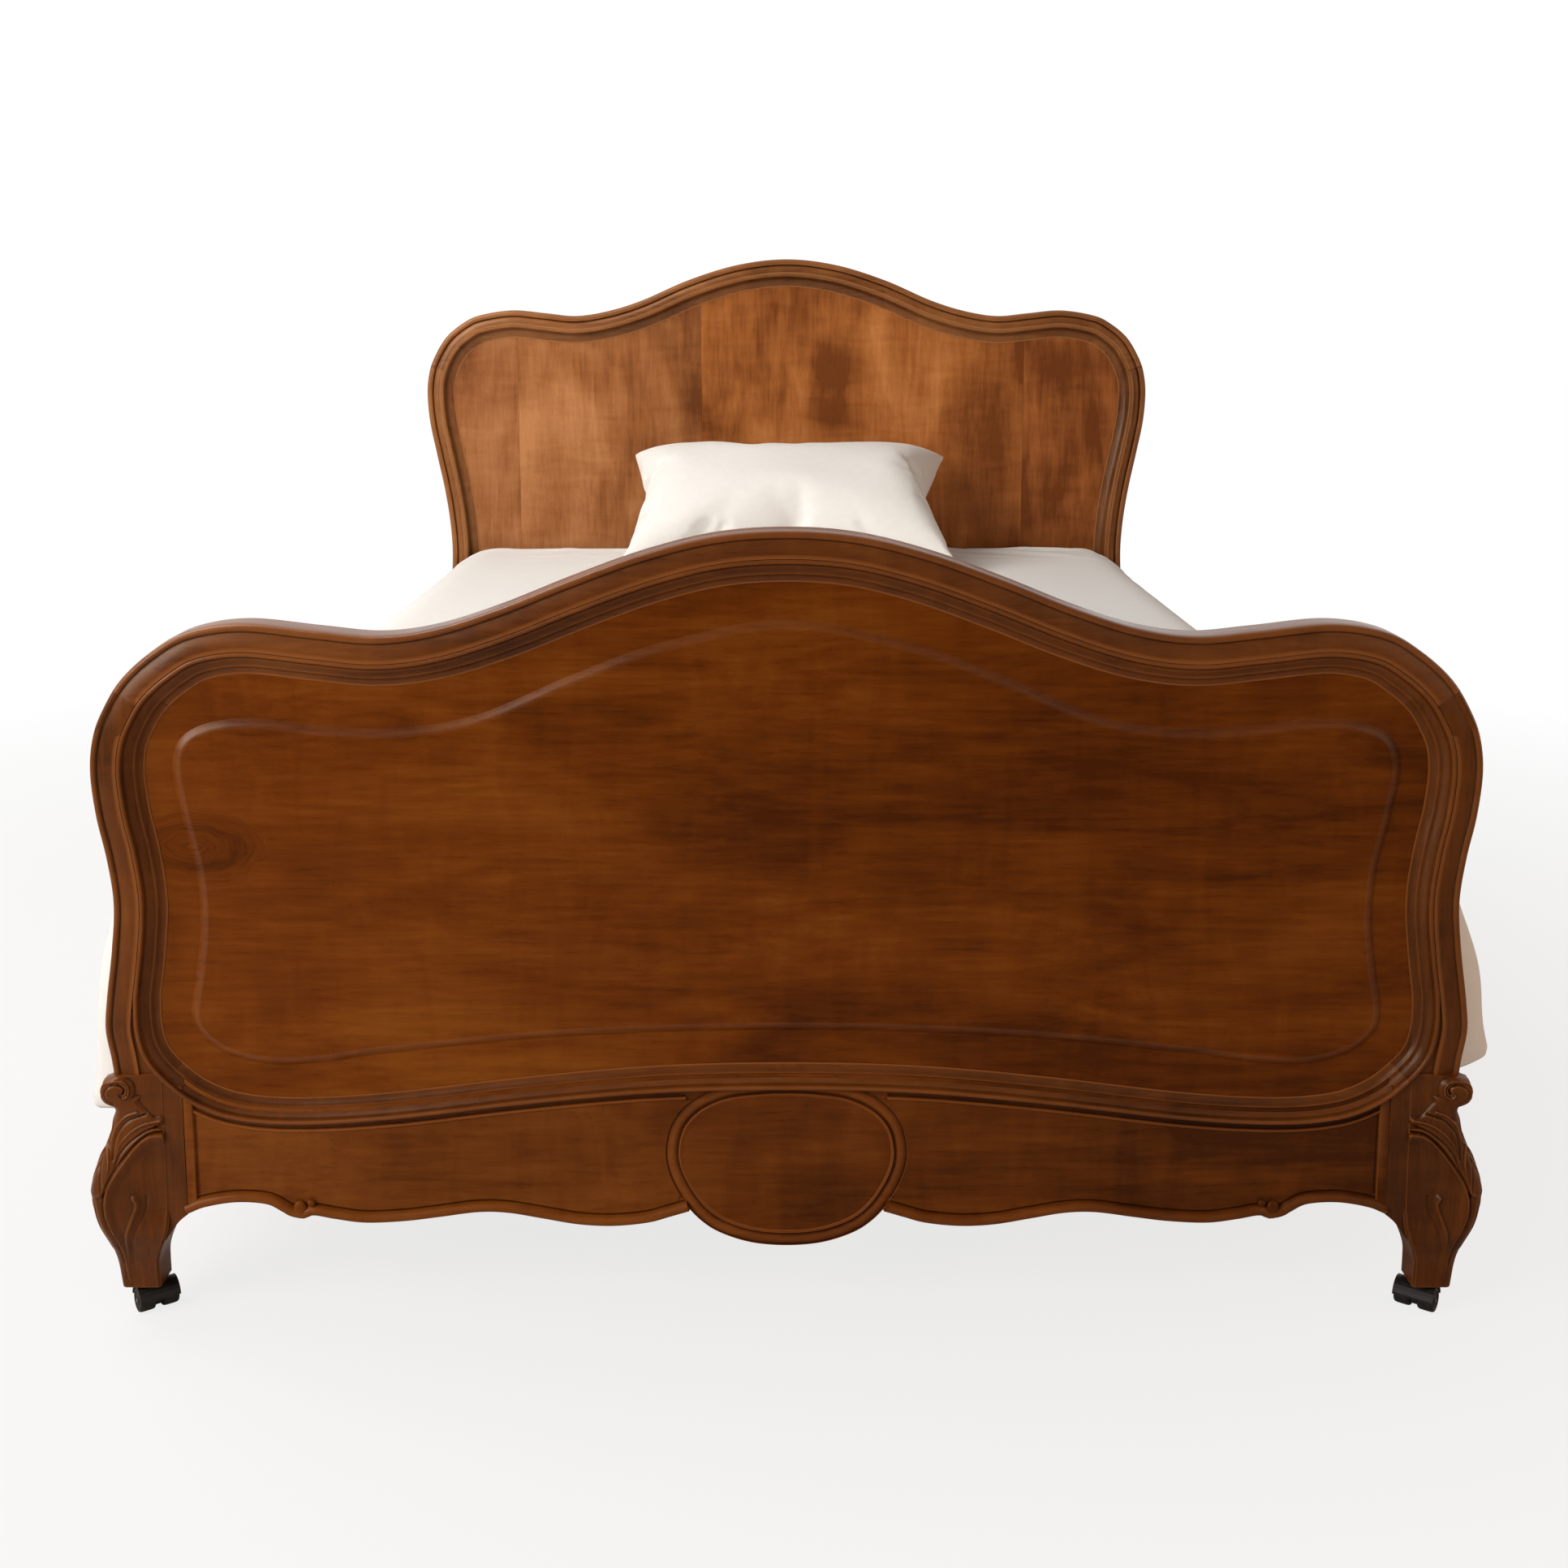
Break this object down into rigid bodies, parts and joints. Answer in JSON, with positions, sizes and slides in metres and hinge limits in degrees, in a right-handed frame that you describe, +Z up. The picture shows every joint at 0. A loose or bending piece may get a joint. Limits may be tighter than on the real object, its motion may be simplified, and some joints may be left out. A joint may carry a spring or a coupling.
{
  "type": "double bed",
  "caption": "Walnut double bed with waved, moulded head and foot boards, carved cabriole legs on swivel casters, slatted base, mattress, white duvet and pillow.",
  "frame": {"origin": "on the floor under the middle of the bed: centre of the bounding box, at its bottom", "axes": "+Z up, +Y from the foot end to the head end, +X to the right as seen from the foot end"},
  "size_m": [1.644, 2.0548, 1.2675],
  "materials": {
    "walnut": "waxed walnut with open grain and a soft sheen",
    "beech": "plain planed softwood or beech",
    "iron": "dark forged iron",
    "steel": "plain bright steel",
    "black_plastic": "black moulded plastic",
    "ticking": "woven mattress ticking",
    "cotton": "matt white cotton"
  },
  "bodies": {
    "bed": {"foot_post_left": "walnut", "foot_post_right": "walnut", "foot_crest_rail": "walnut", "foot_lower_rail": "walnut", "foot_panel": "walnut", "foot_panel_moulding": "walnut", "head_post_left": "walnut", "head_post_right": "walnut", "head_crest_rail": "walnut", "head_lower_rail": "walnut", "head_panel_board_1": "walnut", "head_panel_board_2": "walnut", "head_panel_board_3": "walnut", "head_panel_board_4": "walnut", "head_panel_moulding": "walnut", "side_rail_left": "walnut", "side_rail_right": "walnut", "cleat_left": "beech", "cleat_right": "beech", "slat_01": "beech", "slat_02": "beech", "slat_03": "beech", "slat_04": "beech", "slat_05": "beech", "slat_06": "beech", "slat_07": "beech", "slat_08": "beech", "slat_09": "beech", "slat_10": "beech", "hook_plate_foot_left": "iron", "post_plate_foot_left": "iron", "caster_foot_left_socket": "steel", "hook_plate_foot_right": "iron", "post_plate_foot_right": "iron", "caster_foot_right_socket": "steel", "hook_plate_head_left": "iron", "post_plate_head_left": "iron", "caster_head_left_socket": "steel", "hook_plate_head_right": "iron", "post_plate_head_right": "iron", "caster_head_right_socket": "steel", "mattress": "ticking", "duvet": "cotton", "pillow": "cotton"},
    "caster_foot_left": {"caster_foot_left_housing": "black_plastic", "caster_foot_left_axle": "steel"},
    "caster_foot_left_wheel_inner": {"caster_foot_left_wheel_inner": "black_plastic"},
    "caster_foot_left_wheel_outer": {"caster_foot_left_wheel_outer": "black_plastic"},
    "caster_foot_right": {"caster_foot_right_housing": "black_plastic", "caster_foot_right_axle": "steel"},
    "caster_foot_right_wheel_inner": {"caster_foot_right_wheel_inner": "black_plastic"},
    "caster_foot_right_wheel_outer": {"caster_foot_right_wheel_outer": "black_plastic"},
    "caster_head_left": {"caster_head_left_housing": "black_plastic", "caster_head_left_axle": "steel"},
    "caster_head_left_wheel_inner": {"caster_head_left_wheel_inner": "black_plastic"},
    "caster_head_left_wheel_outer": {"caster_head_left_wheel_outer": "black_plastic"},
    "caster_head_right": {"caster_head_right_housing": "black_plastic", "caster_head_right_axle": "steel"},
    "caster_head_right_wheel_inner": {"caster_head_right_wheel_inner": "black_plastic"},
    "caster_head_right_wheel_outer": {"caster_head_right_wheel_outer": "black_plastic"}
  },
  "joints": [
    {"name": "caster_foot_left_swivel", "type": "hinge", "parent": "bed", "child": "caster_foot_left", "pos_m": [-0.747, -0.9695, 0.0355], "axis": [0, 0, 1], "continuous": true},
    {"name": "caster_foot_left_wheel_inner_spin", "type": "hinge", "parent": "caster_foot_left", "child": "caster_foot_left_wheel_inner", "pos_m": [-0.72898, -0.97153, 0.01438], "axis": [0.8192, 0.5736, 0], "continuous": true},
    {"name": "caster_foot_left_wheel_outer_spin", "type": "hinge", "parent": "caster_foot_left", "child": "caster_foot_left_wheel_outer", "pos_m": [-0.75126, -0.98713, 0.01438], "axis": [0.8192, 0.5736, 0], "continuous": true},
    {"name": "caster_foot_right_swivel", "type": "hinge", "parent": "bed", "child": "caster_foot_right", "pos_m": [0.747, -0.9695, 0.0355], "axis": [0, 0, 1], "continuous": true},
    {"name": "caster_foot_right_wheel_inner_spin", "type": "hinge", "parent": "caster_foot_right", "child": "caster_foot_right_wheel_inner", "pos_m": [0.72898, -0.97153, 0.01438], "axis": [0.8192, -0.5736, 0], "continuous": true},
    {"name": "caster_foot_right_wheel_outer_spin", "type": "hinge", "parent": "caster_foot_right", "child": "caster_foot_right_wheel_outer", "pos_m": [0.75126, -0.98713, 0.01438], "axis": [0.8192, -0.5736, 0], "continuous": true},
    {"name": "caster_head_left_swivel", "type": "hinge", "parent": "bed", "child": "caster_head_left", "pos_m": [-0.747, 0.9975, 0.0355], "axis": [0, 0, 1], "continuous": true},
    {"name": "caster_head_left_wheel_inner_spin", "type": "hinge", "parent": "caster_head_left", "child": "caster_head_left_wheel_inner", "pos_m": [-0.73832, 0.98157, 0.01438], "axis": [0.9397, -0.342, 0], "continuous": true},
    {"name": "caster_head_left_wheel_outer_spin", "type": "hinge", "parent": "caster_head_left", "child": "caster_head_left_wheel_outer", "pos_m": [-0.76388, 0.99087, 0.01438], "axis": [0.9397, -0.342, 0], "continuous": true},
    {"name": "caster_head_right_swivel", "type": "hinge", "parent": "bed", "child": "caster_head_right", "pos_m": [0.747, 0.9975, 0.0355], "axis": [0, 0, 1], "continuous": true},
    {"name": "caster_head_right_wheel_inner_spin", "type": "hinge", "parent": "caster_head_right", "child": "caster_head_right_wheel_inner", "pos_m": [0.73832, 0.98157, 0.01438], "axis": [0.9397, 0.342, 0], "continuous": true},
    {"name": "caster_head_right_wheel_outer_spin", "type": "hinge", "parent": "caster_head_right", "child": "caster_head_right_wheel_outer", "pos_m": [0.76388, 0.99087, 0.01438], "axis": [0.9397, 0.342, 0], "continuous": true}
  ]
}
